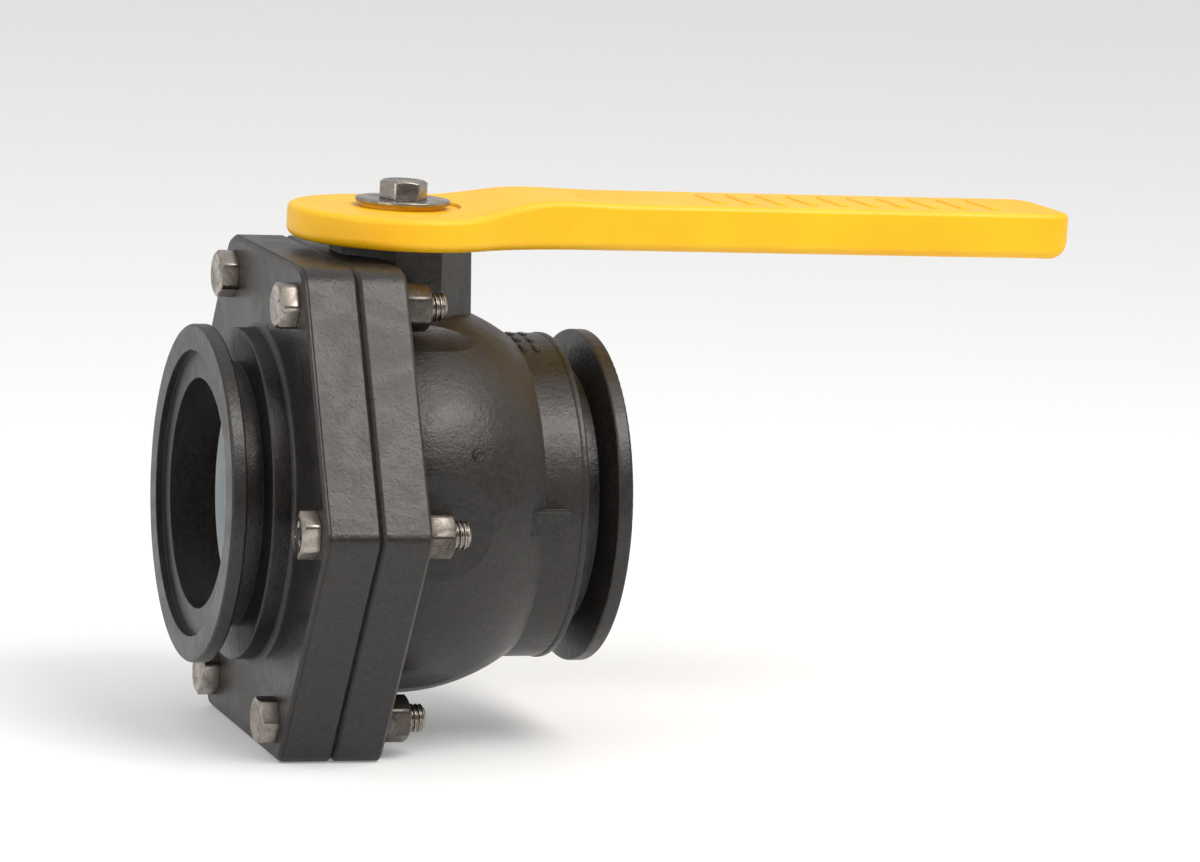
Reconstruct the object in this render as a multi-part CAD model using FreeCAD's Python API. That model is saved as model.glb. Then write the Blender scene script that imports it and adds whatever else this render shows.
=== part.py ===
import FreeCAD, Part
import math
import os
from FreeCAD import Vector

# Three inch full port ball valve for a bulk container: bolted two piece body,
# quarter turn handle. Millimetres. X runs along the pipe from the tank side face,
# Z runs up the stem.

# Overall
face_to_face = 136.0
stem_x = 68.0
port_r = 38.2

# End flanges, the same clamp profile at both ends
flange_r = 56.0
rim_thick = 5.0
bevel_end = 8.0
groove_r = 44.0
shoulder = 13.6
recess_r = 47.4
recess_depth = 2.6

# Hexagonal joint flange
plate_front = 21.6
seam_x = 40.0
plate_back = 56.7
hex_flat = 81.3
side_corner = 5.0
top_corner = 10.0
lip_width = 1.5
lip_step = 0.5
seam_chamfer = 1.3
inlet_neck_r = 55.0

# Body
dome_r = 66.5
outlet_neck_r = 54.5
flank_flat = 64.1
pocket_r = 14.5
lug_length = 14.4
lug_height = 8.2
lug_reach = 58.3
lug_start = 99.0

# Ball, seats and seals
ball_r = 53.0
ball_bore_r = 38.15
cavity_r = 54.6
seat_r = 48.0
seat_back = 28.0
seat_front = 38.0
sleeve_r = 41.5
sleeve_start = 18.4
seat_play = 0.1
seat_seal_r = 44.6
seat_seal_width = 3.0
seat_seal_depth = 2.4
joint_seal_r = 62.0
joint_seal_width = 4.2
joint_seal_depth = 3.2
spigot_r = 54.4
spigot_end = 44.0

# Fasteners, three eighths inch coarse thread
bolt_circle_r = 78.8
bolt_r = 4.76
bolt_hole_r = 5.2
bolt_flats = 14.29
head_height = 6.2
nut_height = 9.8
bolt_length = 50.8
point_chamfer = 0.9

# Stem and its tower
tower_top = 85.1
tower_half = 22.2
tower_flat = 7.8
tower_foot_z = 58.0
tower_draft = 0.04
stem_r = 11.04
stem_bore_r = 11.1
collar_r = 15.8
collar_low = 55.0
collar_high = 59.5
thrust_top = 61.0
slot_width = 9.2
slot_floor = 45.5
tang_width = 9.1
tang_length = 28.0
tang_low = 46.0
stem_seal_heights = (67.5, 75.0)
stem_seal_width = 3.2
stem_seal_root = 8.6
stem_seal_gap = 0.05
drive_width = 16.0
drive_top = 97.0
tapped_depth = 24.0

# Handle
handle_low = 85.7
hub_r = 38.2
hub_top = 96.6
boss_r = 13.6
boss_top = 98.1
well_r = 19.4
arm_half = 23.0
arm_top = 101.3
crest_top = 101.9
crest_x = 116.0
ramp_start = 74.0
ramp_level = 146.0
handle_tip = 300.4
waist_r = 64.0
tip_corner = 8.0
tip_low_corner = 8.0
top_round = 2.0
low_round = 3.2
head_turn = -6.0
washer_r = 15.875
washer_thick = 1.3
washer_hole_r = 5.3
stop_inner = 13.6
stop_outer = 20.0
stop_height = 2.6
stop_half_angle = 12.0
stop_play_angle = 1.0
swing_angle = 90.0

origin = Vector(0, 0, 0)
along = Vector(1, 0, 0)
up = Vector(0, 0, 1)
bolt_angles = [60.0 * i for i in range(6)]


def face_of(points):
    return Part.Face(Part.makePolygon(points + [points[0]]))


def turned(outline):
    """Revolve (x, radius) points about the pipe axis."""
    points = [Vector(x, 0, r) for x, r in outline]
    return face_of(points).revolve(origin, along, 360)


def turned_upright(outline):
    """Revolve (radius, z) points about the stem axis."""
    points = [Vector(stem_x + r, 0, z) for r, z in outline]
    return face_of(points).revolve(Vector(stem_x, 0, 0), up, 360)


def rounded_edges(shape, radius, wanted):
    edges = [edge for edge in shape.Edges if wanted(edge)]
    return shape.makeFillet(radius, edges)


def is_circle(edge):
    return not edge.Degenerated and isinstance(edge.Curve, Part.Circle)


def mirrored_x(x):
    return face_to_face - x


def hex_corner(index, radius_in):
    angle = math.radians(60.0 * index)
    sharp = radius_in / math.cos(math.radians(30.0))
    return Vector(0, sharp * math.cos(angle), sharp * math.sin(angle))


def hex_plate(x0, x1, inset=0.0):
    """Hexagon with flats at top and bottom; its two upper corners are rounder."""
    corners = [hex_corner(i, hex_flat - inset) + Vector(x0, 0, 0) for i in range(6)]
    prism = face_of(corners).extrude(along * (x1 - x0))
    upper = []
    others = []
    for edge in prism.Edges:
        if abs(edge.BoundBox.XLength - (x1 - x0)) > 0.01:
            continue
        high = edge.CenterOfMass.z > hex_flat / 2
        (upper if high else others).append(edge)
    prism = prism.makeFillet(top_corner, upper)
    middle = [e for e in prism.Edges if abs(e.BoundBox.XLength - (x1 - x0)) < 0.01]
    sharp = [e for e in middle if abs(math.hypot(e.CenterOfMass.y, e.CenterOfMass.z)
                                      - (hex_flat - inset) / math.cos(math.radians(30))) < 0.01]
    return prism.makeFillet(side_corner, sharp)


def rim_edge_chamfer(shape, x, size):
    """Break the outer edge of a hexagonal plate at plane x."""
    edges = []
    for edge in shape.Edges:
        box = edge.BoundBox
        middle = edge.CenterOfMass
        outside = math.hypot(middle.y, middle.z) > hex_flat - 12
        if box.XLength < 0.01 and abs(middle.x - x) < 0.01 and outside:
            edges.append(edge)
    return shape.makeChamfer(size, edges)


def bolt_places(x):
    places = []
    for angle in bolt_angles:
        turn = math.radians(angle)
        places.append(Vector(x, bolt_circle_r * math.cos(turn), bolt_circle_r * math.sin(turn)))
    return places


def cut_bolt_holes(shape, x0, x1):
    for place in bolt_places(x0 - 1):
        shape = shape.cut(Part.makeCylinder(bolt_hole_r, x1 - x0 + 2, place, along))
    return shape


def end_profile():
    """Clamp flange outline from the sealing face to the shoulder of the neck."""
    return [(0, flange_r), (rim_thick, flange_r), (bevel_end, groove_r), (shoulder, groove_r)]


def softened_end(shape, neck_r, face_x, shoulder_x, back_x):
    """Round the rim, the lip of the port and the shoulder of one clamp end."""
    def wanted(edge):
        if not is_circle(edge) or edge.BoundBox.XLength > 0.01:
            return False
        x = edge.CenterOfMass.x
        radius = edge.Curve.Radius
        on_rim = abs(radius - flange_r) < 0.01 and (abs(x - face_x) < 0.01 or abs(x - back_x) < 0.01)
        on_neck = abs(radius - neck_r) < 0.01 and abs(x - shoulder_x) < 0.01
        return on_rim or on_neck
    return rounded_edges(shape, 0.9, wanted)


def inlet_adapter():
    """Tank side end: clamp flange, neck and front half of the hexagonal joint."""
    core = end_profile() + [(shoulder, inlet_neck_r), (seam_x, inlet_neck_r), (seam_x, spigot_r),
                            (spigot_end, spigot_r), (spigot_end, seat_r + 0.2)]
    core += [(seat_back, seat_r + 0.2), (seat_back, sleeve_r + 0.2), (sleeve_start, sleeve_r + 0.2)]
    core += [(sleeve_start, port_r), (recess_depth, port_r), (recess_depth, recess_r), (0, recess_r)]
    lip = hex_plate(plate_front, plate_front + lip_width, lip_step)
    lip = rim_edge_chamfer(lip, plate_front, 0.8)
    plate = rim_edge_chamfer(hex_plate(plate_front + lip_width, seam_x), seam_x, seam_chamfer)
    plate = plate.fuse(lip)
    plate = plate.cut(Part.makeCylinder(spigot_r - 1, seam_x, Vector(0, 0, 0), along))
    shape = turned(core).fuse(plate).removeSplitter()
    groove = turned([(seam_x - joint_seal_depth, joint_seal_r - joint_seal_width / 2),
                     (seam_x + 1, joint_seal_r - joint_seal_width / 2),
                     (seam_x + 1, joint_seal_r + joint_seal_width / 2),
                     (seam_x - joint_seal_depth, joint_seal_r + joint_seal_width / 2)])
    shape = shape.cut(groove).cut(seat_seal_groove(seat_back))
    shape = cut_bolt_holes(shape, plate_front, seam_x)
    return softened_end(shape, inlet_neck_r, 0, shoulder, rim_thick)


def seat_seal_groove(x):
    low = seat_seal_r - seat_seal_width / 2
    high = seat_seal_r + seat_seal_width / 2
    return turned([(x - seat_seal_depth, low), (x + 0.5, low), (x + 0.5, high), (x - seat_seal_depth, high)])


def tower():
    """Octagonal post with a moulding draft that carries the stem."""
    def octagon(z):
        grow = (tower_top - z) * tower_draft
        half = tower_half + grow
        flat = tower_flat + grow * math.tan(math.radians(22.5))
        points = [(half, flat), (flat, half), (-flat, half), (-half, flat)]
        points += [(-x, -y) for x, y in points]
        corners = [Vector(stem_x + x, y, z) for x, y in points]
        return Part.makePolygon(corners + [corners[0]])
    return Part.makeLoft([octagon(tower_foot_z), octagon(tower_top)], True, True)


def stop_tab():
    wedge = sector(stop_inner, stop_outer, tower_top - 1, stop_height + 1,
                   180 - stop_half_angle, 180 + stop_half_angle)
    return wedge


def sector(r0, r1, z, height, start, end):
    """Part of a ring round the stem axis, between two angles in degrees."""
    outer = Part.makeCylinder(r1, height, Vector(stem_x, 0, z), up, end - start)
    inner = Part.makeCylinder(r0, height + 2, Vector(stem_x, 0, z - 1), up)
    outer.rotate(Vector(stem_x, 0, 0), up, start)
    return outer.cut(inner)


def locating_lug(side):
    """Round nosed lug on the flank of the outlet neck."""
    nose = lug_length / 2
    reach = lug_reach - 40
    block = Part.makeBox(lug_length, reach, lug_height, Vector(lug_start, 40, -lug_height / 2))
    edge = [e for e in block.Edges if abs(e.CenterOfMass.x - lug_start) < 0.01
            and abs(e.CenterOfMass.y - lug_reach) < 0.01]
    block = block.makeFillet(nose / 2, edge)
    if side < 0:
        block = block.mirror(origin, Vector(0, 1, 0))
    return block


def body_housing():
    """Ball chamber, outlet neck, rear half of the joint flange and stem tower."""
    neck_start = stem_x + math.sqrt(dome_r ** 2 - outlet_neck_r ** 2)
    outer = [(neck_start - 20, 0), (neck_start - 20, outlet_neck_r)]
    outer += [(mirrored_x(shoulder + 1.2), outlet_neck_r), (mirrored_x(shoulder + 1.2), groove_r)]
    outer += [(mirrored_x(x), r) for x, r in reversed(end_profile()[:3])]
    outer += [(face_to_face, 0)]
    dome = Part.makeSphere(dome_r, Vector(stem_x, 0, 0))
    dome = dome.common(Part.makeBox(100, 200, 200, Vector(seam_x + 2, -100, -100)))
    plate = rim_edge_chamfer(hex_plate(seam_x, plate_back), seam_x, seam_chamfer)
    plate = rim_edge_chamfer(plate, plate_back, 1.0)
    for angle, place in zip(bolt_angles, bolt_places(plate_back)):
        if angle % 180:
            dome = dome.cut(Part.makeCylinder(pocket_r, 70, place, along))
    for side in (-1, 1):
        dome = dome.cut(Part.makeBox(120, 20, 120, Vector(0, side * (flank_flat + 10) - 10, -60)))
    shape = dome.fuse([turned(outer), plate, tower(), locating_lug(1), locating_lug(-1)])
    shape = shape.removeSplitter()
    shape = shape.cut(chamber()).cut(stem_bore())
    shape = shape.cut(seat_seal_groove(mirrored_x(seat_back) + seat_seal_depth - 0.5))
    shape = cut_bolt_holes(shape, seam_x, plate_back)
    shape = softened_end(shape, outlet_neck_r, face_to_face, mirrored_x(shoulder + 1.2),
                         mirrored_x(rim_thick))
    return shape.fuse(stop_tab()).removeSplitter()


def chamber():
    """Everything inside the housing that the flow, the ball and the outlet seat fill."""
    entry = Part.makeCylinder(cavity_r, stem_x - seam_x + 1, Vector(seam_x - 1, 0, 0), along)
    hollow = Part.makeSphere(cavity_r, Vector(stem_x, 0, 0))
    pocket_end = mirrored_x(seat_back)
    passage = turned([(stem_x, 0), (stem_x, seat_r + 0.2), (pocket_end, seat_r + 0.2),
                      (pocket_end, sleeve_r + 0.2), (mirrored_x(sleeve_start), sleeve_r + 0.2),
                      (mirrored_x(sleeve_start), port_r), (mirrored_x(recess_depth), port_r),
                      (mirrored_x(recess_depth), recess_r), (face_to_face + 1, recess_r),
                      (face_to_face + 1, 0)])
    right = Part.makeBox(100, 200, 200, Vector(stem_x - 1, -100, -100))
    return entry.fuse([hollow.common(right), passage])


def stem_bore():
    shaft = Part.makeCylinder(stem_bore_r, tower_top - 40, Vector(stem_x, 0, 41), up)
    counterbore = Part.makeCylinder(collar_r + 0.2, thrust_top - 45, Vector(stem_x, 0, 45), up)
    return shaft.fuse(counterbore)


def seat():
    """Sleeved seat ring with a spherical land that the ball turns against."""
    ring = turned([(sleeve_start, ball_bore_r), (sleeve_start, sleeve_r), (seat_back, sleeve_r),
                   (seat_back, seat_r), (seat_front, seat_r), (seat_front, ball_bore_r)])
    return ring.cut(Part.makeSphere(ball_r + seat_play, Vector(stem_x, 0, 0)))


def facing(shape):
    """The same piece on the outlet side."""
    return shape.mirror(Vector(stem_x, 0, 0), along)


def squeezed_ring(x, radius, width, depth):
    """Rubber ring pressed into a face groove, rounded where it is free."""
    low = radius - width / 2
    high = radius + width / 2
    ring = turned([(x - depth, low), (x, low), (x, high), (x - depth, high)])
    return ring.makeFillet(depth * 0.3, ring.Edges)


def ball():
    shape = Part.makeSphere(ball_r, Vector(stem_x, 0, 0))
    bore = Part.makeCylinder(ball_bore_r, 4 * ball_r, Vector(stem_x - 2 * ball_r, 0, 0), along)
    slot = Part.makeBox(slot_width, 2 * ball_r, ball_r, Vector(stem_x - slot_width / 2, -ball_r, slot_floor))
    return shape.cut(bore).cut(slot)


def stem():
    """Blow-out proof stem: tang, collar, two seal grooves and a square drive."""
    half = stem_seal_width / 2
    outline = [(0, collar_low), (collar_r, collar_low), (collar_r, collar_high), (stem_r, collar_high)]
    for height in stem_seal_heights:
        outline += [(stem_r, height - half), (stem_seal_root, height - half)]
        outline += [(stem_seal_root, height + half), (stem_r, height + half)]
    outline += [(stem_r, tower_top), (0, tower_top)]
    body = turned_upright(outline)
    drive = Part.makeBox(drive_width, drive_width, drive_top - tower_top + 1,
                         Vector(stem_x - drive_width / 2, -drive_width / 2, tower_top - 1))
    drive = drive.common(Part.makeCylinder(stem_r, 40, Vector(stem_x, 0, tower_top - 10), up))
    tang = Part.makeBox(tang_width, tang_length, collar_low - tang_low + 1,
                        Vector(stem_x - tang_width / 2, -tang_length / 2, tang_low))
    tapped = Part.makeCylinder(bolt_r, tapped_depth, Vector(stem_x, 0, drive_top - tapped_depth), up)
    return body.fuse([drive, tang]).removeSplitter().cut(tapped)


def stem_seal(height):
    half = stem_seal_width / 2
    outer = stem_bore_r - stem_seal_gap
    ring = turned_upright([(stem_seal_root, height - half), (outer, height - half),
                           (outer, height + half), (stem_seal_root, height + half)])
    return ring.makeFillet(0.7, ring.Edges)


def thrust_washer():
    return turned_upright([(stem_r + 0.2, collar_high + 0.05), (collar_r, collar_high + 0.05),
                           (collar_r, thrust_top), (stem_r + 0.2, thrust_top)])


def hexagon(width, height):
    """Hexagonal prism up +Z with its outer corners turned off at the top."""
    corner_r = width / 2 / math.cos(math.radians(30))
    corners = [Vector(corner_r * math.cos(math.radians(60 * i)),
                      corner_r * math.sin(math.radians(60 * i)), 0) for i in range(6)]
    prism = face_of(corners).extrude(Vector(0, 0, height))
    drop = (corner_r - width / 2) * math.tan(math.radians(30))
    cone = Part.makeCone(corner_r + height / math.tan(math.radians(30)), width / 2 * 0.96,
                         height + drop * 0.5, Vector(0, 0, -drop * 0.5), up)
    return prism.common(cone)


def hex_bolt(length):
    """Bolt along +Z: head below zero, shank above."""
    head = hexagon(bolt_flats, head_height)
    head = head.mirror(origin, up)
    shank = Part.makeCylinder(bolt_r, length)
    tip = [e for e in shank.Edges if is_circle(e) and e.CenterOfMass.z > 1]
    shank = shank.makeChamfer(point_chamfer, tip)
    return head.fuse(shank)


def laid_along_pipe(shape, place, spin):
    """Turn a piece drawn up +Z so that it points along the pipe."""
    piece = shape.copy()
    piece.rotate(origin, up, spin)
    piece.rotate(origin, Vector(0, 1, 0), 90)
    piece.translate(place)
    return piece


def flange_bolts():
    bolt = hex_bolt(bolt_length)
    return [laid_along_pipe(bolt, place, head_spin(i)) for i, place in enumerate(bolt_places(plate_front))]


def flange_nuts():
    nut = hexagon(bolt_flats, nut_height).cut(Part.makeCylinder(bolt_r, nut_height))
    return [laid_along_pipe(nut, place, nut_spin(i)) for i, place in enumerate(bolt_places(plate_back))]


def head_spin(index):
    return 0.0 if index % 2 else 30.0


def nut_spin(index):
    return 30.0 if index % 2 else 0.0


def handle_plan():
    """Round hub that narrows through two hollow flanks to a straight arm."""
    rise = arm_half + waist_r
    reach = math.sqrt((hub_r + waist_r) ** 2 - rise ** 2)
    flank = math.atan2(rise, reach)
    end_x = stem_x + reach
    tip = handle_tip - tip_corner
    diagonal = tip_corner * math.sqrt(0.5)
    hub_point = Vector(stem_x + hub_r * math.cos(flank), hub_r * math.sin(flank), 0)
    waist_turn = (math.pi / 2 + flank) / 2
    waist_mid = Vector(end_x - waist_r * math.cos(waist_turn), rise - waist_r * math.sin(waist_turn), 0)
    waist_end = Vector(end_x, arm_half, 0)
    tip_start = Vector(tip, arm_half, 0)
    tip_mid = Vector(tip + diagonal, arm_half - tip_corner + diagonal, 0)
    tip_end = Vector(handle_tip, arm_half - tip_corner, 0)

    def low(point):
        return Vector(point.x, -point.y, 0)
    edges = [Part.Arc(hub_point, waist_mid, waist_end), Part.LineSegment(waist_end, tip_start),
             Part.Arc(tip_start, tip_mid, tip_end), Part.LineSegment(tip_end, low(tip_end)),
             Part.Arc(low(tip_end), low(tip_mid), low(tip_start)),
             Part.LineSegment(low(tip_start), low(waist_end)),
             Part.Arc(low(waist_end), low(waist_mid), low(hub_point)),
             Part.Arc(low(hub_point), Vector(stem_x - hub_r, 0, 0), hub_point)]
    return Part.Wire([edge.toShape() for edge in edges])


def handle_side():
    """Side view: level hub, rising crest, then a long level grip."""
    start = Vector(stem_x - hub_r - 5, 0, hub_top)
    foot = Vector(ramp_start, 0, hub_top)
    crest = Vector(crest_x, 0, crest_top)
    level = Vector(ramp_level, 0, arm_top)
    end_high = Vector(handle_tip, 0, arm_top)
    round_start = Vector(handle_tip, 0, handle_low + tip_low_corner)
    bend = tip_low_corner * (1 - math.sqrt(0.5))
    round_mid = Vector(handle_tip - bend, 0, handle_low + bend)
    round_end = Vector(handle_tip - tip_low_corner, 0, handle_low)
    back = Vector(stem_x - hub_r - 5, 0, handle_low)
    ramp = Part.BSplineCurve()
    ramp.interpolate([foot, crest, level], Tangents=[along, along, along],
                     TangentFlags=[True, True, True])
    edges = [Part.LineSegment(start, foot).toShape(), ramp.toShape(),
             Part.LineSegment(level, end_high).toShape(), Part.LineSegment(end_high, round_start).toShape(),
             Part.Arc(round_start, round_mid, round_end).toShape(), Part.LineSegment(round_end, back).toShape(),
             Part.LineSegment(back, start).toShape()]
    return Part.Wire(edges)


def rounded_handle(shape):
    """Soften the upper and lower outline of the hub and arm."""
    def outline(edge, high):
        middle = edge.CenterOfMass
        flat = edge.BoundBox.ZLength < 0.01 and abs(middle.z - handle_low) < 0.01
        upright = edge.BoundBox.ZLength > 8
        if high:
            return middle.z > hub_top - 0.1 and not upright and edge.Length > 0.1
        return flat and edge.Length > 0.1 and middle.x < handle_tip - tip_low_corner - 1
    shape = rounded_edges(shape, low_round, lambda edge: outline(edge, False))
    return rounded_edges(shape, top_round, lambda edge: outline(edge, True))


def handle():
    plan = handle_plan()
    plan.translate(Vector(0, 0, handle_low))
    slab = Part.Face(plan).extrude(up * 20)
    side = handle_side()
    side.translate(Vector(0, -60, 0))
    shape = Part.Face(side).extrude(Vector(0, 120, 0)).common(slab)
    boss = Part.makeCylinder(boss_r, boss_top - hub_top + 1, Vector(stem_x, 0, hub_top - 1), up)
    well = Part.makeCylinder(well_r, 10, Vector(stem_x, 0, hub_top), up)
    shape = rounded_handle(shape).cut(well).fuse(boss)
    square = Part.makeBox(drive_width + 0.1, drive_width + 0.1, 40,
                          Vector(stem_x - drive_width / 2 - 0.05, -drive_width / 2 - 0.05, 70))
    square = square.common(Part.makeCylinder(stem_r + 0.05, 60, Vector(stem_x, 0, 60), up))
    slot = sector(stop_inner - 0.4, stop_outer + 0.4, handle_low - 1, stop_height + 0.8,
                  180 - stop_half_angle - stop_play_angle,
                  180 + stop_half_angle + stop_play_angle + swing_angle)
    return shape.cut(square).cut(slot)


def handle_washer():
    return turned_upright([(washer_hole_r, boss_top), (washer_r, boss_top),
                           (washer_r, boss_top + washer_thick), (washer_hole_r, boss_top + washer_thick)])


def handle_bolt():
    bolt = hex_bolt(25.4)
    bolt.rotate(origin, along, 180)
    bolt.rotate(origin, up, head_turn)
    bolt.translate(Vector(stem_x, 0, boss_top + washer_thick))
    return bolt


def save(name, shape):
    solids = shape if isinstance(shape, list) else [shape]
    piece = Part.makeCompound(solids) if len(solids) > 1 else solids[0]
    count = len(piece.Solids)
    if count == 1:
        piece = piece.Solids[0]
    piece.exportStep("parts/" + name + ".step")
    print(name, count, "solids", round(piece.Volume / 1000, 2), "cc", piece.isValid())


os.makedirs("parts", exist_ok=True)
save("body_housing", body_housing())
save("inlet_adapter", inlet_adapter())
save("flange_bolts", flange_bolts())
save("flange_nuts", flange_nuts())
save("joint_oring", squeezed_ring(seam_x, joint_seal_r, joint_seal_width, joint_seal_depth))
save("inlet_seat", seat())
save("outlet_seat", facing(seat()))
inlet_ring = squeezed_ring(seat_back, seat_seal_r, seat_seal_width, seat_seal_depth)
save("inlet_seat_oring", inlet_ring)
save("outlet_seat_oring", facing(inlet_ring))
save("stem_thrust_washer", thrust_washer())
save("ball", ball())
save("stem", stem())
save("stem_oring_lower", stem_seal(stem_seal_heights[0]))
save("stem_oring_upper", stem_seal(stem_seal_heights[1]))
save("handle", handle())
save("handle_washer", handle_washer())
save("handle_bolt", handle_bolt())
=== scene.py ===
import math

import bmesh
import bpy
from mathutils import Matrix, Vector


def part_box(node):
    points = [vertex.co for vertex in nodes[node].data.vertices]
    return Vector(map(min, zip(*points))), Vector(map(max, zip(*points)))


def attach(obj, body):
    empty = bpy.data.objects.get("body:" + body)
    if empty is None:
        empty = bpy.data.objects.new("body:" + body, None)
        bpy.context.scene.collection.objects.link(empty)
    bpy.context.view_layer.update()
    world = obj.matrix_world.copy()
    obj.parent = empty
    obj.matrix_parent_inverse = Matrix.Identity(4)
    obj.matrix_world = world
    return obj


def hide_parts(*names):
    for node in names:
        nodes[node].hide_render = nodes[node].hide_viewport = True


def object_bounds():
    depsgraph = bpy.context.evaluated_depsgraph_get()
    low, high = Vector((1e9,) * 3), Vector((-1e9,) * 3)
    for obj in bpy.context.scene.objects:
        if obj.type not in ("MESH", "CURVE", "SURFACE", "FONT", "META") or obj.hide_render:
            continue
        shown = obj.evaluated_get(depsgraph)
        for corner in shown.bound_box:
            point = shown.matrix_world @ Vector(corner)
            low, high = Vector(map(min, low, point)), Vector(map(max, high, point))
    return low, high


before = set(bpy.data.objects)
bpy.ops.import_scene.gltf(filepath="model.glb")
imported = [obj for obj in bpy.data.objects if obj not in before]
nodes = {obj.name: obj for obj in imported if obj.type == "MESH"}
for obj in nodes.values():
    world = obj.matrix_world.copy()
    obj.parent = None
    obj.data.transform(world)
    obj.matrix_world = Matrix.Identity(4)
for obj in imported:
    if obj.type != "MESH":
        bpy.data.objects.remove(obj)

# Tank valve: the finishes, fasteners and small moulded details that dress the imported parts.

cadLow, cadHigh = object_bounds()
mm = 0.001


# Camera, stage and light

viewSet = {
    "target": (0.14152, 0.0, 0.02177),
    "back": (-0.31594, -0.93718, 0.14792),
    "distance": 1.83643,
    "roll": 3.295,          # degrees
    "lens": 162.96,
}


def addCamera():
    back = Vector(viewSet["back"]).normalized()
    right = (-back).cross(Vector((0, 0, 1))).normalized()
    up = back.cross(right).normalized()
    roll = math.radians(viewSet["roll"])
    across = math.cos(roll) * right + math.sin(roll) * up
    upward = math.cos(roll) * up - math.sin(roll) * right
    camera = bpy.data.objects.new("camera", bpy.data.cameras.new("camera"))
    camera.data.lens = viewSet["lens"]
    camera.data.sensor_width = 36
    camera.data.clip_start = 0.05
    camera.data.clip_end = 60
    turn = Matrix((across, upward, back)).transposed().to_4x4()
    camera.matrix_world = Matrix.Translation(Vector(viewSet["target"]) + back * viewSet["distance"]) @ turn
    bpy.context.scene.collection.objects.link(camera)
    bpy.context.scene.camera = camera


stageSet = {
    "halfWidth": 6.0,
    "front": -5.0,
    "bend": 3.2,            # where the floor starts to curve up
    "bendRadius": 1.6,
    "height": 5.0,
    "floorTone": 0.80,
    "ownLight": 0.22,       # what the stage adds for the eye and for reflections
}


def stageMaterial():
    material = bpy.data.materials.new("studioPaper")
    material.use_nodes = True
    tree = material.node_tree
    tree.nodes.clear()
    out = tree.nodes.new("ShaderNodeOutputMaterial")
    paper = tree.nodes.new("ShaderNodeBsdfDiffuse")
    tone = stageSet["floorTone"]
    paper.inputs["Color"].default_value = (tone, tone, tone, 1)
    glow = tree.nodes.new("ShaderNodeEmission")
    path = tree.nodes.new("ShaderNodeLightPath")
    seen = tree.nodes.new("ShaderNodeMath")
    seen.operation = "MAXIMUM"
    tree.links.new(path.outputs["Is Camera Ray"], seen.inputs[0])
    tree.links.new(path.outputs["Is Glossy Ray"], seen.inputs[1])
    strength = tree.nodes.new("ShaderNodeMath")
    strength.operation = "MULTIPLY"
    strength.inputs[1].default_value = stageSet["ownLight"]
    tree.links.new(seen.outputs[0], strength.inputs[0])
    tree.links.new(strength.outputs[0], glow.inputs["Strength"])
    both = tree.nodes.new("ShaderNodeAddShader")
    tree.links.new(paper.outputs[0], both.inputs[0])
    tree.links.new(glow.outputs[0], both.inputs[1])
    tree.links.new(both.outputs[0], out.inputs["Surface"])
    return material


def addStage():
    floorZ = cadLow.z - 0.0002
    line = [(stageSet["front"], floorZ)]
    radius = stageSet["bendRadius"]
    for step in range(17):
        turn = math.radians(90 * step / 16)
        line.append((stageSet["bend"] + radius * math.sin(turn), floorZ + radius * (1 - math.cos(turn))))
    line.append((stageSet["bend"] + radius, floorZ + stageSet["height"]))
    mesh = bpy.data.meshes.new("studioSweep")
    half = stageSet["halfWidth"]
    points = [(x, y, z) for y, z in line for x in (-half, half)]
    faces = [(2 * i, 2 * i + 1, 2 * i + 3, 2 * i + 2) for i in range(len(line) - 1)]
    mesh.from_pydata(points, [], faces)
    mesh.shade_smooth()
    mesh.materials.append(stageMaterial())
    sweep = bpy.data.objects.new("studioSweep", mesh)
    bpy.context.scene.collection.objects.link(sweep)


lightSet = {
    "middle": (0.12, 0.0, 0.02),
    "lamps": {
        "overheadSoftbox": {"way": (0.30, -0.55, 0.78), "far": 1.7, "size": (1.0, 0.8), "watts": 19.0},
        "leftSoftbox": {"way": (-0.80, -0.45, 0.40), "far": 1.8, "size": (0.7, 1.0), "watts": 5.0},
    },
    "tint": (1.0, 0.965, 0.93),
    "skyLow": 0.85,
    "skyHigh": 1.15,
    "frontDark": 0.12,      # the dim part of the room behind the camera
    "frontWay": (0.22, -0.96, -0.08),
    "frontStart": 0.35,
    "frontEnd": 0.95,
}


def addLamps():
    for name, lamp in lightSet["lamps"].items():
        data = bpy.data.lights.new(name, "AREA")
        data.shape = "RECTANGLE"
        data.size, data.size_y = lamp["size"]
        data.energy = lamp["watts"]
        data.color = lightSet["tint"]
        light = bpy.data.objects.new(name, data)
        way = Vector(lamp["way"]).normalized()
        light.location = Vector(lightSet["middle"]) + way * lamp["far"]
        light.rotation_mode = "QUATERNION"
        light.rotation_quaternion = way.to_track_quat("Z", "Y")
        bpy.context.scene.collection.objects.link(light)


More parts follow.
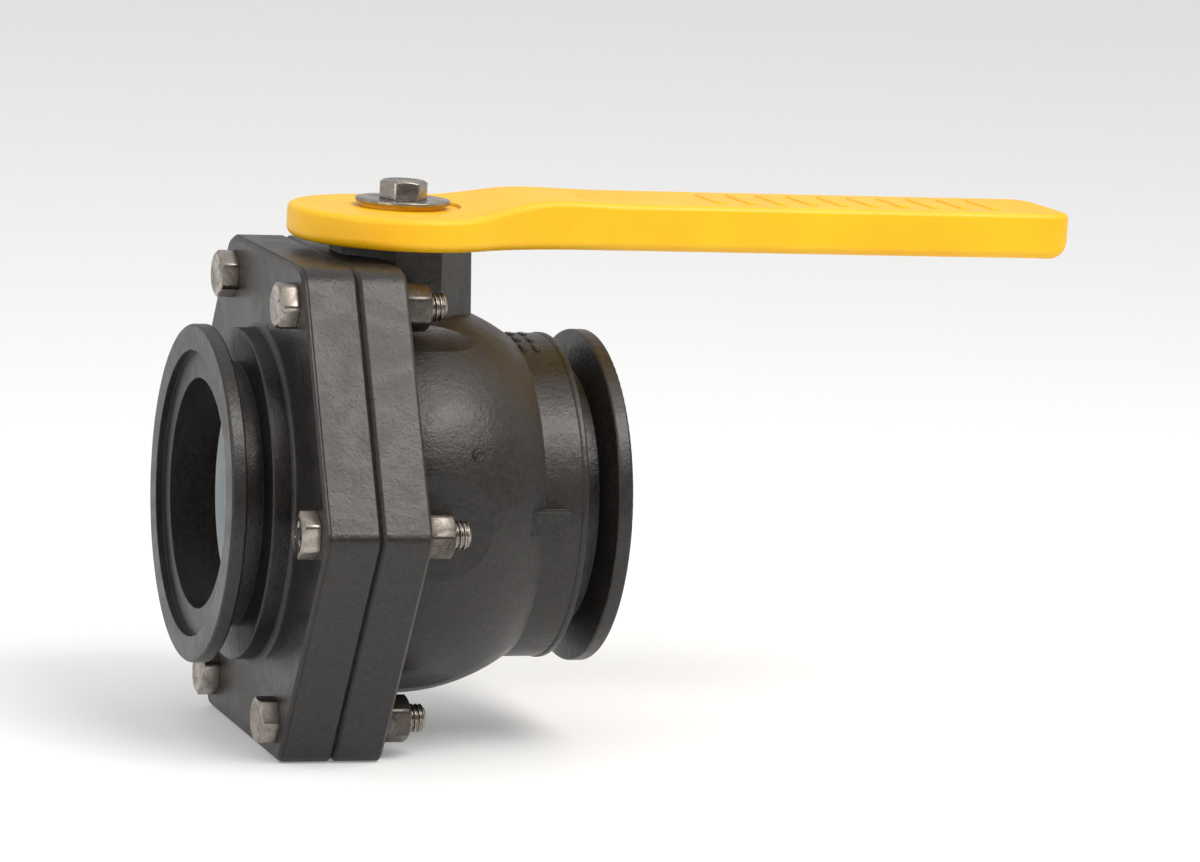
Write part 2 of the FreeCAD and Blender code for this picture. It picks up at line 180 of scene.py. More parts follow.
def addWorld():
    world = bpy.data.worlds.new("studioRoom")
    bpy.context.scene.world = world
    world.use_nodes = True
    tree = world.node_tree
    tree.nodes.clear()
    out = tree.nodes.new("ShaderNodeOutputWorld")
    room = tree.nodes.new("ShaderNodeBackground")
    place = tree.nodes.new("ShaderNodeTexCoord")
    split = tree.nodes.new("ShaderNodeSeparateXYZ")
    tree.links.new(place.outputs["Generated"], split.inputs[0])
    sky = tree.nodes.new("ShaderNodeMapRange")
    sky.inputs["From Min"].default_value = 0
    sky.inputs["From Max"].default_value = 1
    sky.inputs["To Min"].default_value = lightSet["skyLow"]
    sky.inputs["To Max"].default_value = lightSet["skyHigh"]
    tree.links.new(split.outputs["Z"], sky.inputs["Value"])
    front = tree.nodes.new("ShaderNodeVectorMath")
    front.operation = "DOT_PRODUCT"
    front.inputs[1].default_value = Vector(lightSet["frontWay"]).normalized()
    tree.links.new(place.outputs["Generated"], front.inputs[0])
    dim = tree.nodes.new("ShaderNodeMapRange")
    dim.interpolation_type = "SMOOTHSTEP"
    dim.inputs["From Min"].default_value = lightSet["frontStart"]
    dim.inputs["From Max"].default_value = lightSet["frontEnd"]
    dim.inputs["To Min"].default_value = 1.0
    dim.inputs["To Max"].default_value = lightSet["frontDark"]
    tree.links.new(front.outputs["Value"], dim.inputs["Value"])
    level = tree.nodes.new("ShaderNodeMath")
    level.operation = "MULTIPLY"
    tree.links.new(sky.outputs[0], level.inputs[0])
    tree.links.new(dim.outputs[0], level.inputs[1])
    path = tree.nodes.new("ShaderNodeLightPath")
    seen = tree.nodes.new("ShaderNodeMath")
    seen.operation = "MAXIMUM"
    tree.links.new(level.outputs[0], seen.inputs[0])
    tree.links.new(path.outputs["Is Camera Ray"], seen.inputs[1])
    tree.links.new(seen.outputs[0], room.inputs["Strength"])
    tree.links.new(room.outputs[0], out.inputs["Surface"])


addCamera()
addStage()
addLamps()
addWorld()
bpy.context.scene.view_settings.view_transform = "Standard"
print("camera, stage and light are set")


# Shared effects, each a node group

def newGroup(name, inputs, outputs):
    group = bpy.data.node_groups.new(name, "ShaderNodeTree")
    for label, kind, value in inputs:
        socket = group.interface.new_socket(label, in_out="INPUT", socket_type=kind)
        socket.default_value = value
    for label, kind in outputs:
        group.interface.new_socket(label, in_out="OUTPUT", socket_type=kind)
    return group, group.nodes.new("NodeGroupInput"), group.nodes.new("NodeGroupOutput")


def noiseNode(tree, place, scale, detail=2.0, rough=0.5, twist=0.0):
    node = tree.nodes.new("ShaderNodeTexNoise")
    node.inputs["Detail"].default_value = detail
    node.inputs["Roughness"].default_value = rough
    node.inputs["Distortion"].default_value = twist
    if isinstance(scale, (int, float)):
        node.inputs["Scale"].default_value = scale
    else:
        tree.links.new(scale, node.inputs["Scale"])
    tree.links.new(place, node.inputs["Vector"])
    return node.outputs["Fac"]


def mathNode(tree, operation, first, second=None, third=None, clamp=False):
    node = tree.nodes.new("ShaderNodeMath")
    node.operation = operation
    node.use_clamp = clamp
    for socket, value in zip(node.inputs, (first, second, third)):
        if value is None:
            continue
        if isinstance(value, (int, float)):
            socket.default_value = value
        else:
            tree.links.new(value, socket)
    return node.outputs[0]


def spreadNode(tree, value, low, high, toLow=0.0, toHigh=1.0):
    node = tree.nodes.new("ShaderNodeMapRange")
    node.interpolation_type = "SMOOTHSTEP"
    for label, number in (("From Min", low), ("From Max", high), ("To Min", toLow), ("To Max", toHigh)):
        if isinstance(number, (int, float)):
            node.inputs[label].default_value = number
        else:
            tree.links.new(number, node.inputs[label])
    tree.links.new(value, node.inputs["Value"])
    return node.outputs[0]


def mixNode(tree, factor, first, second):
    node = tree.nodes.new("ShaderNodeMix")
    node.data_type = "RGBA"
    for socket, value in ((node.inputs["Factor"], factor), (node.inputs["A"], first), (node.inputs["B"], second)):
        if isinstance(value, (int, float, tuple)):
            socket.default_value = value
        else:
            tree.links.new(value, socket)
    return node.outputs["Result"]


def grainGroup():
    group, start, end = newGroup("mouldGrain", [
        ("Place", "NodeSocketVector", (0, 0, 0)), ("Grain Scale", "NodeSocketFloat", 900.0),
        ("Mottle Scale", "NodeSocketFloat", 60.0), ("Flow Scale", "NodeSocketFloat", 18.0)],
        [("Height", "NodeSocketFloat"), ("Mottle", "NodeSocketFloat"), ("Flow", "NodeSocketFloat")])
    place = start.outputs["Place"]
    fine = noiseNode(group, place, start.outputs["Grain Scale"], 3.0, 0.6)
    coarse = noiseNode(group, place, mathNode(group, "MULTIPLY", start.outputs["Grain Scale"], 0.3), 2.0, 0.5)
    height = mathNode(group, "MULTIPLY_ADD", coarse, 0.55, mathNode(group, "MULTIPLY", fine, 0.45))
    mottle = spreadNode(group, noiseNode(group, place, start.outputs["Mottle Scale"], 5.0, 0.62, 0.3), 0.32,
                        0.68)
    flow = spreadNode(group, noiseNode(group, place, start.outputs["Flow Scale"], 4.0, 0.55, 1.4), 0.35, 0.65)
    group.links.new(height, end.inputs["Height"])
    group.links.new(mottle, end.inputs["Mottle"])
    group.links.new(flow, end.inputs["Flow"])
    return group


# Edge mask for a lighter tone on rounded edges: partly rubbed wear, partly a painted edge highlight. The bevelled
# normal it also puts out is real rounding.
def edgeGroup():
    group, start, end = newGroup("edgeWearAndHighlight", [
        ("Place", "NodeSocketVector", (0, 0, 0)), ("Radius", "NodeSocketFloat", 0.0006),
        ("Breakup", "NodeSocketFloat", 220.0)],
        [("Edge", "NodeSocketFloat"), ("Normal", "NodeSocketVector")])
    soft = group.nodes.new("ShaderNodeBevel")
    soft.samples = 6
    group.links.new(start.outputs["Radius"], soft.inputs["Radius"])
    geometry = group.nodes.new("ShaderNodeNewGeometry")
    turn = group.nodes.new("ShaderNodeVectorMath")
    turn.operation = "DOT_PRODUCT"
    group.links.new(soft.outputs[0], turn.inputs[0])
    group.links.new(geometry.outputs["Normal"], turn.inputs[1])
    edgeBand = spreadNode(group, turn.outputs["Value"], 0.80, 0.995, 1.0, 0.0)
    patches = spreadNode(group, noiseNode(group, start.outputs["Place"], start.outputs["Breakup"], 4.0, 0.6),
                         0.3, 0.7, 0.25, 1.0)
    group.links.new(mathNode(group, "MULTIPLY", edgeBand, patches), end.inputs["Edge"])
    group.links.new(soft.outputs[0], end.inputs["Normal"])
    return group


def dustGroup():
    group, start, end = newGroup("settledDust", [
        ("Place", "NodeSocketVector", (0, 0, 0)), ("Amount", "NodeSocketFloat", 0.3)],
        [("Dust", "NodeSocketFloat")])
    geometry = group.nodes.new("ShaderNodeNewGeometry")
    split = group.nodes.new("ShaderNodeSeparateXYZ")
    group.links.new(geometry.outputs["Normal"], split.inputs[0])
    upper = spreadNode(group, split.outputs["Z"], -0.1, 0.95)
    cloud = spreadNode(group, noiseNode(group, start.outputs["Place"], 45.0, 6.0, 0.68, 0.6), 0.30, 0.72,
                       0.35, 1.0)
    specks = spreadNode(group, noiseNode(group, start.outputs["Place"], 1400.0, 1.0, 0.5), 0.66, 0.74)
    film = mathNode(group, "MULTIPLY", mathNode(group, "MULTIPLY", upper, cloud), start.outputs["Amount"])
    dots = mathNode(group, "MULTIPLY", specks, mathNode(group, "MULTIPLY", start.outputs["Amount"], 0.5))
    group.links.new(mathNode(group, "ADD", film, dots, clamp=True), end.inputs["Dust"])
    return group


def metalGroup():
    group, start, end = newGroup("forgedMetal", [
        ("Place", "NodeSocketVector", (0, 0, 0)), ("Pit Scale", "NodeSocketFloat", 700.0),
        ("Stain Scale", "NodeSocketFloat", 130.0)],
        [("Height", "NodeSocketFloat"), ("Stain", "NodeSocketFloat"), ("Scratch", "NodeSocketFloat")])
    place = start.outputs["Place"]
    pits = noiseNode(group, place, start.outputs["Pit Scale"], 4.0, 0.65)
    stain = spreadNode(group, noiseNode(group, place, start.outputs["Stain Scale"], 5.0, 0.65, 0.8), 0.3, 0.7)
    stretch = group.nodes.new("ShaderNodeMapping")
    stretch.inputs["Scale"].default_value = (2200, 260, 2200)
    stretch.inputs["Rotation"].default_value = (0.5, 0.2, 0.7)
    group.links.new(place, stretch.inputs["Vector"])
    lines = spreadNode(group, noiseNode(group, stretch.outputs[0], 1.0, 2.0, 0.5), 0.58, 0.70)
    group.links.new(pits, end.inputs["Height"])
    group.links.new(stain, end.inputs["Stain"])
    group.links.new(lines, end.inputs["Scratch"])
    return group


effects = {"grain": grainGroup(), "edge": edgeGroup(), "dust": dustGroup(), "metal": metalGroup()}


def useEffect(tree, name, place, **values):
    node = tree.nodes.new("ShaderNodeGroup")
    node.node_tree = effects[name]
    tree.links.new(place, node.inputs["Place"])
    for label, value in values.items():
        node.inputs[label.replace("_", " ")].default_value = value
    return node


def startMaterial(name):
    material = bpy.data.materials.new(name)
    material.use_nodes = True
    tree = material.node_tree
    tree.nodes.clear()
    out = tree.nodes.new("ShaderNodeOutputMaterial")
    shader = tree.nodes.new("ShaderNodeBsdfPrincipled")
    tree.links.new(shader.outputs[0], out.inputs["Surface"])
    place = tree.nodes.new("ShaderNodeTexCoord").outputs["Object"]
    return material, tree, shader, place


def plain(color):
    def linear(value):
        value /= 255
        return value / 12.92 if value <= 0.04045 else ((value + 0.055) / 1.055) ** 2.4
    return tuple(linear(value) for value in color) + (1.0,)


def bumpNode(tree, height, depth, normal):
    node = tree.nodes.new("ShaderNodeBump")
    node.inputs["Strength"].default_value = 1.0
    node.inputs["Distance"].default_value = depth
    tree.links.new(height, node.inputs["Height"])
    tree.links.new(normal, node.inputs["Normal"])
    return node.outputs["Normal"]


def plasticMaterial(name, look):
    material, tree, shader, place = startMaterial(name)
    grain = useEffect(tree, "grain", place, Grain_Scale=look["grainScale"], Mottle_Scale=look["mottleScale"],
                      Flow_Scale=look["flowScale"])
    edge = useEffect(tree, "edge", place, Radius=look["edgeRadius"], Breakup=look["edgeBreakup"])
    dust = useEffect(tree, "dust", place, Amount=look["dust"])
    base = mixNode(tree, grain.outputs["Mottle"], plain(look["color"]), plain(look["colorMottle"]))
    base = mixNode(tree, mathNode(tree, "MULTIPLY", grain.outputs["Flow"], look["flowShare"]), base,
                   plain(look["colorFlow"]))
    # Lighter edges: partly wear, partly a painted edge highlight.
    base = mixNode(tree, mathNode(tree, "MULTIPLY", edge.outputs["Edge"], look["edgeWearAndHighlightShare"]), base,
                   plain(look["colorEdgeWearAndHighlight"]))
    base = mixNode(tree, dust.outputs["Dust"], base, plain(look["colorDust"]))
    tree.links.new(base, shader.inputs["Base Color"])
    rough = spreadNode(tree, grain.outputs["Flow"], 0.0, 1.0, look["rough"] - look["roughSpread"],
                       look["rough"] + look["roughSpread"])
    rough = mathNode(tree, "MULTIPLY_ADD", dust.outputs["Dust"], 0.35, rough, clamp=True)
    tree.links.new(rough, shader.inputs["Roughness"])
    tree.links.new(bumpNode(tree, grain.outputs["Height"], look["grainDepth"], edge.outputs["Normal"]),
                   shader.inputs["Normal"])
    shader.inputs["IOR"].default_value = look["ior"]
    return material


def metalMaterial(name, look):
    material, tree, shader, place = startMaterial(name)
    metal = useEffect(tree, "metal", place, Pit_Scale=look["pitScale"], Stain_Scale=look["stainScale"])
    edge = useEffect(tree, "edge", place, Radius=look["edgeRadius"], Breakup=look["edgeBreakup"])
    base = mixNode(tree, metal.outputs["Stain"], plain(look["color"]), plain(look["colorStain"]))
    base = mixNode(tree, mathNode(tree, "MULTIPLY", metal.outputs["Scratch"], look["scratchShare"]), base,
                   plain(look["colorScratch"]))
    # Brighter edges: partly wear, partly a painted edge highlight.
    base = mixNode(tree, mathNode(tree, "MULTIPLY", edge.outputs["Edge"], look["edgeWearAndHighlightShare"]), base,
                   plain(look["colorEdgeWearAndHighlight"]))
    tree.links.new(base, shader.inputs["Base Color"])
    rough = spreadNode(tree, metal.outputs["Stain"], 0.0, 1.0, look["rough"] - look["roughSpread"],
                       look["rough"] + look["roughSpread"])
    tree.links.new(rough, shader.inputs["Roughness"])
    shader.inputs["Metallic"].default_value = 1.0
    tree.links.new(bumpNode(tree, metal.outputs["Height"], look["pitDepth"], edge.outputs["Normal"]),
                   shader.inputs["Normal"])
    return material


# Finishes

# In each look the edge tone is partly rubbed wear and partly a painted edge highlight.
blackPlasticLook = {
    "color": (14, 13, 12), "colorMottle": (38, 35, 33), "colorFlow": (42, 38, 35), "flowShare": 0.35,
    "colorEdgeWearAndHighlight": (84, 80, 76), "edgeWearAndHighlightShare": 0.35, "edgeRadius": 0.0005, "edgeBreakup": 260.0,
    "colorDust": (112, 103, 95), "dust": 0.08,
    "rough": 0.37, "roughSpread": 0.035, "ior": 1.5,
    "grainScale": 1000.0, "grainDepth": 0.0003, "mottleScale": 600.0, "flowScale": 45.0,
}
ballPlasticLook = dict(blackPlasticLook, color=(38, 37, 36), colorMottle=(44, 43, 41), rough=0.30, dust=0.03)
yellowPlasticLook = {
    "color": (255, 190, 0), "colorMottle": (255, 198, 4), "colorFlow": (252, 182, 0), "flowShare": 0.5,
    "colorEdgeWearAndHighlight": (255, 214, 70), "edgeWearAndHighlightShare": 0.45, "edgeRadius": 0.0006, "edgeBreakup": 200.0,
    "colorDust": (226, 200, 120), "dust": 0.05,
    "rough": 0.46, "roughSpread": 0.04, "ior": 1.5,
    "grainScale": 1100.0, "grainDepth": 0.00002, "mottleScale": 40.0, "flowScale": 12.0,
}
ptfeLook = {
    "color": (214, 222, 226), "colorMottle": (222, 228, 230), "colorFlow": (204, 214, 220), "flowShare": 0.4,
    "colorEdgeWearAndHighlight": (236, 240, 242), "edgeWearAndHighlightShare": 0.4, "edgeRadius": 0.0003, "edgeBreakup": 200.0,
    "colorDust": (190, 188, 182), "dust": 0.05,
    "rough": 0.34, "roughSpread": 0.04, "ior": 1.36,
    "grainScale": 700.0, "grainDepth": 0.00001, "mottleScale": 90.0, "flowScale": 30.0,
}
rubberLook = {
    "color": (24, 24, 24), "colorMottle": (30, 30, 29), "colorFlow": (36, 35, 34), "flowShare": 0.4,
    "colorEdgeWearAndHighlight": (52, 51, 50), "edgeWearAndHighlightShare": 0.2, "edgeRadius": 0.0002, "edgeBreakup": 300.0,
    "colorDust": (96, 92, 88), "dust": 0.08,
    "rough": 0.62, "roughSpread": 0.05, "ior": 1.5,
    "grainScale": 1600.0, "grainDepth": 0.00002, "mottleScale": 120.0, "flowScale": 40.0,
}
# The bright steel edge tone is partly wear and partly a painted edge highlight.
stainlessLook = {
    "color": (168, 160, 152), "colorStain": (132, 124, 115), "colorScratch": (206, 200, 193),
    "scratchShare": 0.5,
    "colorEdgeWearAndHighlight": (236, 233, 228), "edgeWearAndHighlightShare": 0.7, "edgeRadius": 0.00025, "edgeBreakup": 500.0,
    "rough": 0.30, "roughSpread": 0.07, "pitScale": 900.0, "pitDepth": 0.000012, "stainScale": 160.0,
}
darkSteelLook = dict(stainlessLook, color=(104, 98, 93), colorStain=(76, 71, 67),
                     colorScratch=(140, 134, 127),
                     colorEdgeWearAndHighlight=(168, 161, 153), rough=0.36, stainScale=220.0)

finishes = {
    "black_plastic": plasticMaterial("blackPlastic", blackPlasticLook),
    "ball_plastic": plasticMaterial("ballPlastic", ballPlasticLook),
    "yellow_plastic": plasticMaterial("yellowPlastic", yellowPlasticLook),
    "white_ptfe": plasticMaterial("whiteSeat", ptfeLook),
    "black_rubber": plasticMaterial("blackRubber", rubberLook),
    "stainless_steel": metalMaterial("stainlessSteel", stainlessLook),
    "dark_steel": metalMaterial("darkSteel", darkSteelLook),
}
for node in nodes.values():
    for index, old in enumerate(node.data.materials):
        node.data.materials[index] = finishes[old.name.split(".")[0]]
print("finishes are on the packed parts")


# Pieces made here, each a closed mesh grown ring by ring

def growShell(bm, rings, place=Matrix.Identity(4)):
    rows = [[bm.verts.new(place @ Vector(point)) for point in ring] for ring in rings]
    count = len(rows[0])
    for lower, upper in zip(rows, rows[1:]):
        for i in range(count):
            j = (i + 1) % count
            bm.faces.new((lower[i], lower[j], upper[j], upper[i]))
    for row, ring, flip in ((rows[0], rings[0], True), (rows[-1], rings[-1], False)):
        middle = bm.verts.new(place @ (sum((Vector(point) for point in ring), Vector()) / count))
        for i in range(count):
            j = (i + 1) % count
            bm.faces.new((row[j], row[i], middle) if flip else (row[i], row[j], middle))


def growLoop(bm, outline, turns, place):
    rows = [[bm.verts.new(place(a, r, 2 * math.pi * i / turns)) for a, r in outline] for i in range(turns)]
    for i in range(turns):
        here, there = rows[i], rows[(i + 1) % turns]
        for k in range(len(outline)):
            m = (k + 1) % len(outline)
            bm.faces.new((here[k], here[m], there[m], there[k]))


def finishPiece(name, bm, body, slotName, replaced=(), sharpAngle=32):
    bmesh.ops.recalc_face_normals(bm, faces=bm.faces)
    mesh = bpy.data.meshes.new(name)
    bm.to_mesh(mesh)
    bm.free()
    mesh.shade_smooth()
    mesh.set_sharp_from_angle(angle=math.radians(sharpAngle))
    mesh.materials.append(finishes[slotName])
    piece = bpy.data.objects.new(name, mesh)
    bpy.context.scene.collection.objects.link(piece)
    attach(piece, body)
    if replaced:
        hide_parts(*replaced)


def aroundPipe(x, r, turn):
    return Vector((x * mm, r * mm * math.cos(turn), r * mm * math.sin(turn)))


fastenerSet = {
    "flats": 14.29,
    "cornerRound": 0.30,
    "turnedShare": 0.955,       # chamfer circle against the flats
    "chamferSlope": 30.0,       # degrees
    "headHeight": 6.2,
    "nutHeight": 9.8,
    "boltLength": 50.8,
    "threadRadius": 4.76,
    "threadDepth": 0.62,
    "threadPitch": 1.5875,
    "threadedPart": 18.0,
    "tipChamfer": 1.1,
    "circleRadius": 78.8,
    "sides": 96,
    "dish": 0.25,
    "tickLength": 2.0,
    "tickWidth": 0.62,
    "tickHeight": 0.22,
    "tickInset": 2.6,
    "ticks": 3,
    "centreRadius": 1.2,        # smallest ring at the middle of a head
    "boreMouth": 0.9,           # lead-in at each end of a nut
    "edgeSoft": 0.08,
    "dishRim": 0.9,
    "dishFloor": 1.6,
    "threadSides": 64,
    "ringsPerPitch": 10,
}


def hexRadius(turn):
    part = (math.degrees(turn) + 30) % 60 - 30
    flat = fastenerSet["flats"] / 2 / math.cos(math.radians(30 - abs(part)))
    return min(flat, fastenerSet["flats"] / 2 / math.cos(math.radians(30)) - fastenerSet["cornerRound"])


def hexRings(low, high, lowTurned=True, dish=0.0, bore=None):
    turned = fastenerSet["flats"] / 2 * fastenerSet["turnedShare"]
    slope = math.tan(math.radians(fastenerSet["chamferSlope"]))
    turns = [2 * math.pi * i / fastenerSet["sides"] for i in range(fastenerSet["sides"])]

    def ring(radius, level):
        return [(radius(t) * mm * math.cos(t), radius(t) * mm * math.sin(t), level(t) * mm) for t in turns]

    def lift(t):
        return (hexRadius(t) - turned) * slope
    soft = fastenerSet["edgeSoft"]
    mouth = fastenerSet["boreMouth"]
    inner = bore + mouth if bore else fastenerSet["centreRadius"]
    rings = []
    if bore:
        rings += [ring(lambda t: bore, lambda t: (low + high) / 2),
                  ring(lambda t: bore, lambda t: low + mouth)]
    rings += [ring(lambda t: inner, lambda t: low)]
    if lowTurned:
        rings += [ring(lambda t: turned - 0.15, lambda t: low),
                  ring(lambda t: turned + 0.05, lambda t: low + 0.06),
                  ring(lambda t: hexRadius(t) - soft, lambda t: low + lift(t) + 0.02),
                  ring(hexRadius, lambda t: low + lift(t) + 0.16)]
    else:
        rings += [ring(lambda t: hexRadius(t) - soft, lambda t: low), ring(hexRadius, lambda t: low + 0.1)]
    rings += [ring(hexRadius, lambda t: high - lift(t) - 0.16),
              ring(lambda t: hexRadius(t) - soft, lambda t: high - lift(t) - 0.02),
              ring(lambda t: turned + 0.05, lambda t: high - 0.06),
              ring(lambda t: turned - 0.2, lambda t: high)]
    if dish:
        rings += [ring(lambda t: turned - fastenerSet["dishRim"], lambda t: high),
                  ring(lambda t: turned - fastenerSet["dishFloor"], lambda t: high - dish)]
    rings += [ring(lambda t: inner, lambda t: high - dish)]
    if bore:
        rings += [ring(lambda t: bore, lambda t: high - mouth),
                  ring(lambda t: bore, lambda t: (low + high) / 2)]
    return rings


def nutShell(bm, rings, place):
    rows = [[bm.verts.new(place @ Vector(point)) for point in ring] for ring in rings[:-1]]
    count = len(rows[0])
    for lower, upper in zip(rows, rows[1:] + rows[:1]):
        for i in range(count):
            j = (i + 1) % count
            bm.faces.new((lower[i], lower[j], upper[j], upper[i]))


def threadRings(low, high, plainLow):
    major = fastenerSet["threadRadius"]
    pitch = fastenerSet["threadPitch"]
    steps = fastenerSet["threadSides"]

    def ring(level, radius):
        return [(radius(t) * mm * math.cos(t), radius(t) * mm * math.sin(t), level * mm)
                for t in (2 * math.pi * i / steps for i in range(steps))]

    def cutRadius(level):
        cap = major - fastenerSet["tipChamfer"] + (high - level)

        def radius(t):
            wave = (level / pitch - t / (2 * math.pi)) % 1
            flank = min(1.0, max(0.0, (abs(wave - 0.5) - 0.06) / 0.36))
            return min(major - fastenerSet["threadDepth"] * (1 - flank), cap)
        return radius
    rings = [ring(plainLow, lambda t: major - 0.1), ring(low - 0.6, lambda t: major - 0.1)]
    count = int((high - low) / pitch * fastenerSet["ringsPerPitch"])
    levels = [low + (high - low) * i / count for i in range(count + 1)]
    rings += [ring(level, cutRadius(level)) for level in levels]
    rings += [ring(high, lambda t: 1.6), ring(high - 0.12, lambda t: 1.2)]
    return rings


def tickShell(bm, place, turn, level, inner, outer):
    half = fastenerSet["tickWidth"] / 2
    spin = Matrix.Rotation(turn, 4, "Z")

    def ring(shrink, height):
        corners = [(inner + shrink, -half + shrink), (outer - shrink, -half + shrink),
                   (outer - shrink, half - shrink), (inner + shrink, half - shrink)]
        return [spin @ Vector((x * mm, y * mm, (level + height) * mm)) for x, y in corners]
    growShell(bm, [ring(0, -0.1), ring(0, 0.1), ring(0.15, fastenerSet["tickHeight"])], place)


def alongPipe(x, index, spin):
    turn = math.radians(60 * index)
    radius = fastenerSet["circleRadius"] * mm
    place = Matrix.Translation((x, radius * math.cos(turn), radius * math.sin(turn)))
    return place @ Matrix.Rotation(math.radians(90), 4, "Y") @ Matrix.Rotation(math.radians(spin), 4, "Z")


boltLow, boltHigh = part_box("flange_bolts")
nutLow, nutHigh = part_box("flange_nuts")


def makeFlangeBolts():
    bm = bmesh.new()
    under = boltLow.x + fastenerSet["headHeight"] * mm
    outerTick = fastenerSet["flats"] / 2 - fastenerSet["tickInset"]
    for index in range(6):
        place = alongPipe(under, index, 0.0 if index % 2 else 30.0)
        faceOut = place @ Matrix.Rotation(math.pi, 4, "X")
        growShell(bm, hexRings(0.0, fastenerSet["headHeight"], lowTurned=False, dish=fastenerSet["dish"]),
                  faceOut)
        length = fastenerSet["boltLength"]
        growShell(bm, threadRings(length - fastenerSet["threadedPart"], length, -1.0), place)
        for tick in range(fastenerSet["ticks"]):
            tickShell(bm, faceOut, math.radians(360 / fastenerSet["ticks"] * tick + 17 * index),
                      fastenerSet["headHeight"] - fastenerSet["dish"], outerTick - fastenerSet["tickLength"],
                      outerTick)
    finishPiece("flangeBoltSet", bm, "valve_body", "stainless_steel", ("flange_bolts",))


def makeFlangeNuts():
    bm = bmesh.new()
    for index in range(6):
        place = alongPipe(nutLow.x, index, 30.0 if index % 2 else 0.0)
        nutShell(bm, hexRings(0.0, fastenerSet["nutHeight"], bore=fastenerSet["threadRadius"]), place)
    finishPiece("flangeNutSet", bm, "valve_body", "dark_steel", ("flange_nuts",))


leverTopSet = {
    "headTurn": -6.0,
    "washerHole": 5.3,
    "washerRound": 0.3,
    "washerSides": 128,
}


def makeHandleBolt():
    bm = bmesh.new()
    low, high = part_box("handle_bolt")
    centre = (low + high) / 2
    under = high.z - fastenerSet["headHeight"] * mm
    place = Matrix.Translation((centre.x, centre.y,
                                under)) @ Matrix.Rotation(math.radians(leverTopSet["headTurn"]), 4, "Z")
    growShell(bm, hexRings(0.0, fastenerSet["headHeight"], lowTurned=False, dish=fastenerSet["dish"]), place)
    down = place @ Matrix.Rotation(math.pi, 4, "X")
    growShell(bm, threadRings(6.0, (under - low.z) / mm, -1.0), down)
    outerTick = fastenerSet["flats"] / 2 - fastenerSet["tickInset"]
    for tick in range(fastenerSet["ticks"]):
        tickShell(bm, place, math.radians(360 / fastenerSet["ticks"] * tick + 40),
                  fastenerSet["headHeight"] - fastenerSet["dish"],
                  outerTick - fastenerSet["tickLength"], outerTick)
    finishPiece("handleBoltPiece", bm, "lever", "stainless_steel", ("handle_bolt",))


def makeHandleWasher():
    bm = bmesh.new()
    low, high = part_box("handle_washer")
    centre = (low + high) / 2
    outer = (high.x - low.x) / 2 / mm
    inner = leverTopSet["washerHole"]
    soft = leverTopSet["washerRound"]
    bottom, top = low.z / mm, high.z / mm
    outline = [(inner, bottom + soft), (inner, top - soft), (inner + soft, top), (outer - soft, top),
               (outer - soft * 0.3, top - soft * 0.3), (outer, top - soft), (outer, bottom + soft),
               (outer - soft * 0.3, bottom + soft * 0.3), (outer - soft, bottom), (inner + soft, bottom)]

    def place(r, z, turn):
        return Vector((centre.x + r * mm * math.cos(turn), centre.y + r * mm * math.sin(turn), z * mm))
    growLoop(bm, outline, leverTopSet["washerSides"], place)
    finishPiece("handleWasherPiece", bm, "lever", "stainless_steel", ("handle_washer",), sharpAngle=50)


neckSet = {
    "rootFace": 21.6, "rootRadius": 55.0, "rootRound": 1.6,
    "lipMiddle": 119.9, "lipRadius": 54.5, "lipHalf": 1.15, "lipRise": 0.35,
    "sides": 240,
}


def makeNeckRoot():
    bm = bmesh.new()
    face, radius, soft = neckSet["rootFace"], neckSet["rootRadius"], neckSet["rootRound"]
    outline = [(face + 0.2, radius - 0.2), (face - soft - 0.1, radius - 0.2)]
    for step in range(9):
        turn = math.radians(90 * step / 8)
        outline.append((face - soft + soft * math.sin(turn), radius + soft - soft * math.cos(turn)))
    outline.append((face + 0.2, radius + soft + 0.02))
    growLoop(bm, outline, neckSet["sides"], aroundPipe)
    finishPiece("neckRootFillet", bm, "valve_body", "black_plastic")


def makeOutletLip():
    bm = bmesh.new()
    outline = [(neckSet["lipMiddle"] + neckSet["lipHalf"], neckSet["lipRadius"] - 0.3),
               (neckSet["lipMiddle"] - neckSet["lipHalf"], neckSet["lipRadius"] - 0.3)]
    for step in range(11):
        turn = math.radians(180 * step / 10)
        outline.append((neckSet["lipMiddle"] - neckSet["lipHalf"] * math.cos(turn),
                        neckSet["lipRadius"] + neckSet["lipRise"] * math.sin(turn)))
    growLoop(bm, outline, neckSet["sides"], aroundPipe)
    finishPiece("outletLip", bm, "valve_body", "black_plastic")


gateSet = {
    "middle": (68.0, 0.0, 0.0), "domeRadius": 66.5, "way": (12.1, -61.1, 23.2),
    "outline": ((2.6, -0.15), (2.2, 0.10), (1.85, 0.55), (1.5, 0.85), (1.2, 0.80), (0.95, 0.20), (0.5, 0.04),
                (0.15, 0.03)),
}


def makeGateMark():
    bm = bmesh.new()
    way = Vector(gateSet["way"]).normalized()
    foot = (Vector(gateSet["middle"]) + way * gateSet["domeRadius"]) * mm
    place = Matrix.Translation(foot) @ way.to_track_quat("Z", "Y").to_matrix().to_4x4()
    rings = [[(r * mm * math.cos(t), r * mm * (1 + 0.10 * math.sin(2 * t)) * math.sin(t), h * mm)
              for t in (2 * math.pi * i / 40 for i in range(40))] for r, h in gateSet["outline"]]
    growShell(bm, rings, place)
    finishPiece("gateMark", bm, "valve_body", "black_plastic", sharpAngle=60)


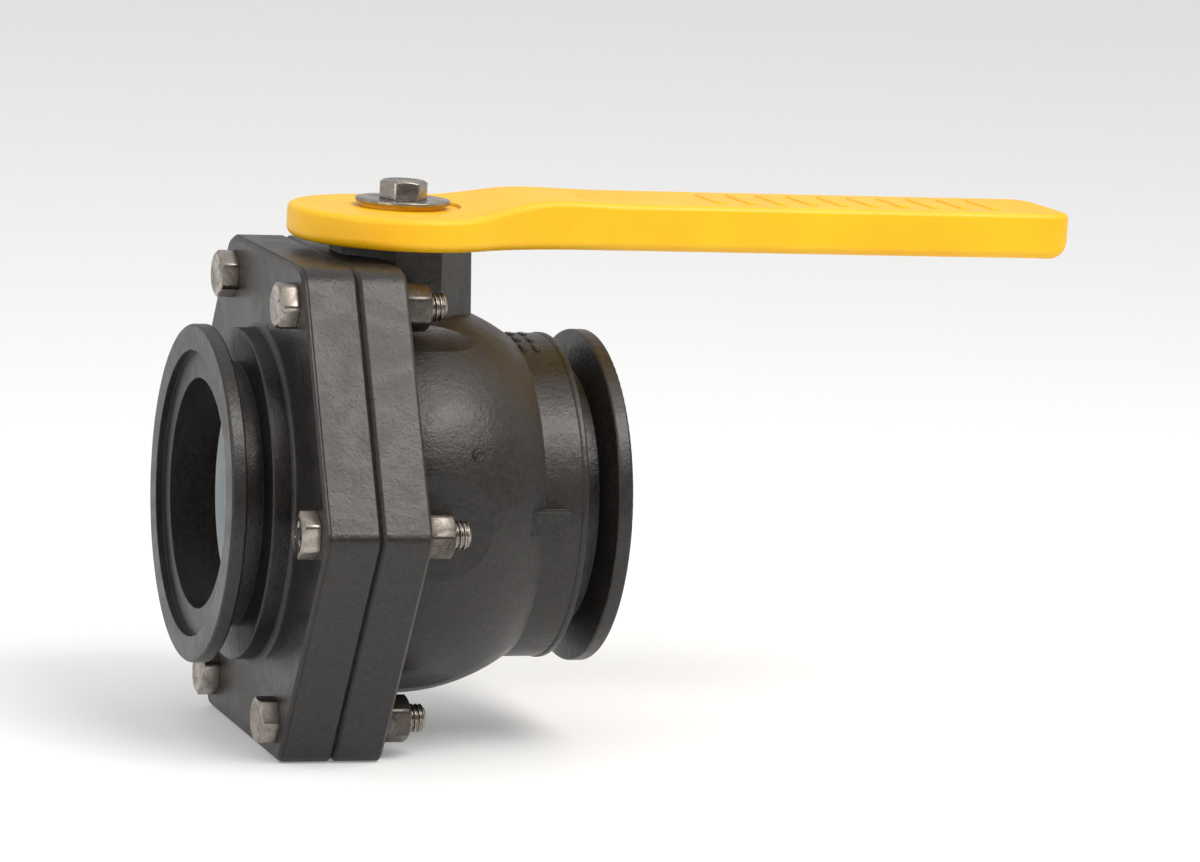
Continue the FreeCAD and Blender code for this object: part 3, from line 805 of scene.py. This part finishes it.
def growMound(bm, toPlace, across, along, high, middle, corner):
    def ring(shrink, level):
        points = []
        for quarter in range(4):
            signX = 1 if quarter in (0, 3) else -1
            signY = 1 if quarter in (0, 1) else -1
            for step in range(7):
                turn = math.radians(90 * quarter + 90 * step / 6)
                points.append(toPlace(middle[0] + signX * (along / 2 - corner) + (corner - shrink) * math.cos(turn),
                                      middle[1] + signY * (across / 2 - corner) + (corner - shrink) * math.sin(turn), level))
        return points
    growShell(bm,
              [ring(0, -0.2), ring(0, high * 0.45), ring(high * 0.15, high * 0.8), ring(high * 0.45, high)])


gripSet = {
    "start": 176.0, "step": 11.0, "bars": 10, "length": 3.4, "width": 26.0, "rise": 0.5, "corner": 1.6,
    "underCrest": 0.6,          # the grip lies this far below the lever's crest
}
neckBarSet = {
    "xs": (103.0, 107.5, 112.0), "rows": (-16.0, -8.0, 0.0), "length": 2.2, "width": 5.4, "rise": 0.45,
    "corner": 0.9,
    "radius": 54.5,
}


def makeGripBars():
    bm = bmesh.new()
    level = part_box("handle")[1].z / mm - gripSet["underCrest"]

    def onGrip(x, y, h):
        return Vector((x * mm, y * mm, (level + h) * mm))
    for index in range(gripSet["bars"]):
        growMound(bm, onGrip, gripSet["width"], gripSet["length"], gripSet["rise"],
                  (gripSet["start"] + gripSet["step"] * index, 0.0), gripSet["corner"])
    finishPiece("gripBars", bm, "lever", "yellow_plastic", sharpAngle=60)


def makeNeckBars():
    bm = bmesh.new()

    def onNeck(x, y, h):
        turn = y / neckBarSet["radius"]
        radius = neckBarSet["radius"] + h
        return Vector((x * mm, radius * mm * math.sin(turn), radius * mm * math.cos(turn)))
    for x in neckBarSet["xs"]:
        for row in neckBarSet["rows"]:
            growMound(bm, onNeck, neckBarSet["width"], neckBarSet["length"], neckBarSet["rise"], (x, row),
                      neckBarSet["corner"])
    finishPiece("neckBars", bm, "valve_body", "black_plastic", sharpAngle=60)


makeFlangeBolts()
makeFlangeNuts()
makeHandleBolt()
makeHandleWasher()
print("fasteners are made")
makeNeckRoot()
makeOutletLip()
makeGateMark()
makeGripBars()
makeNeckBars()
print("mould details are made")
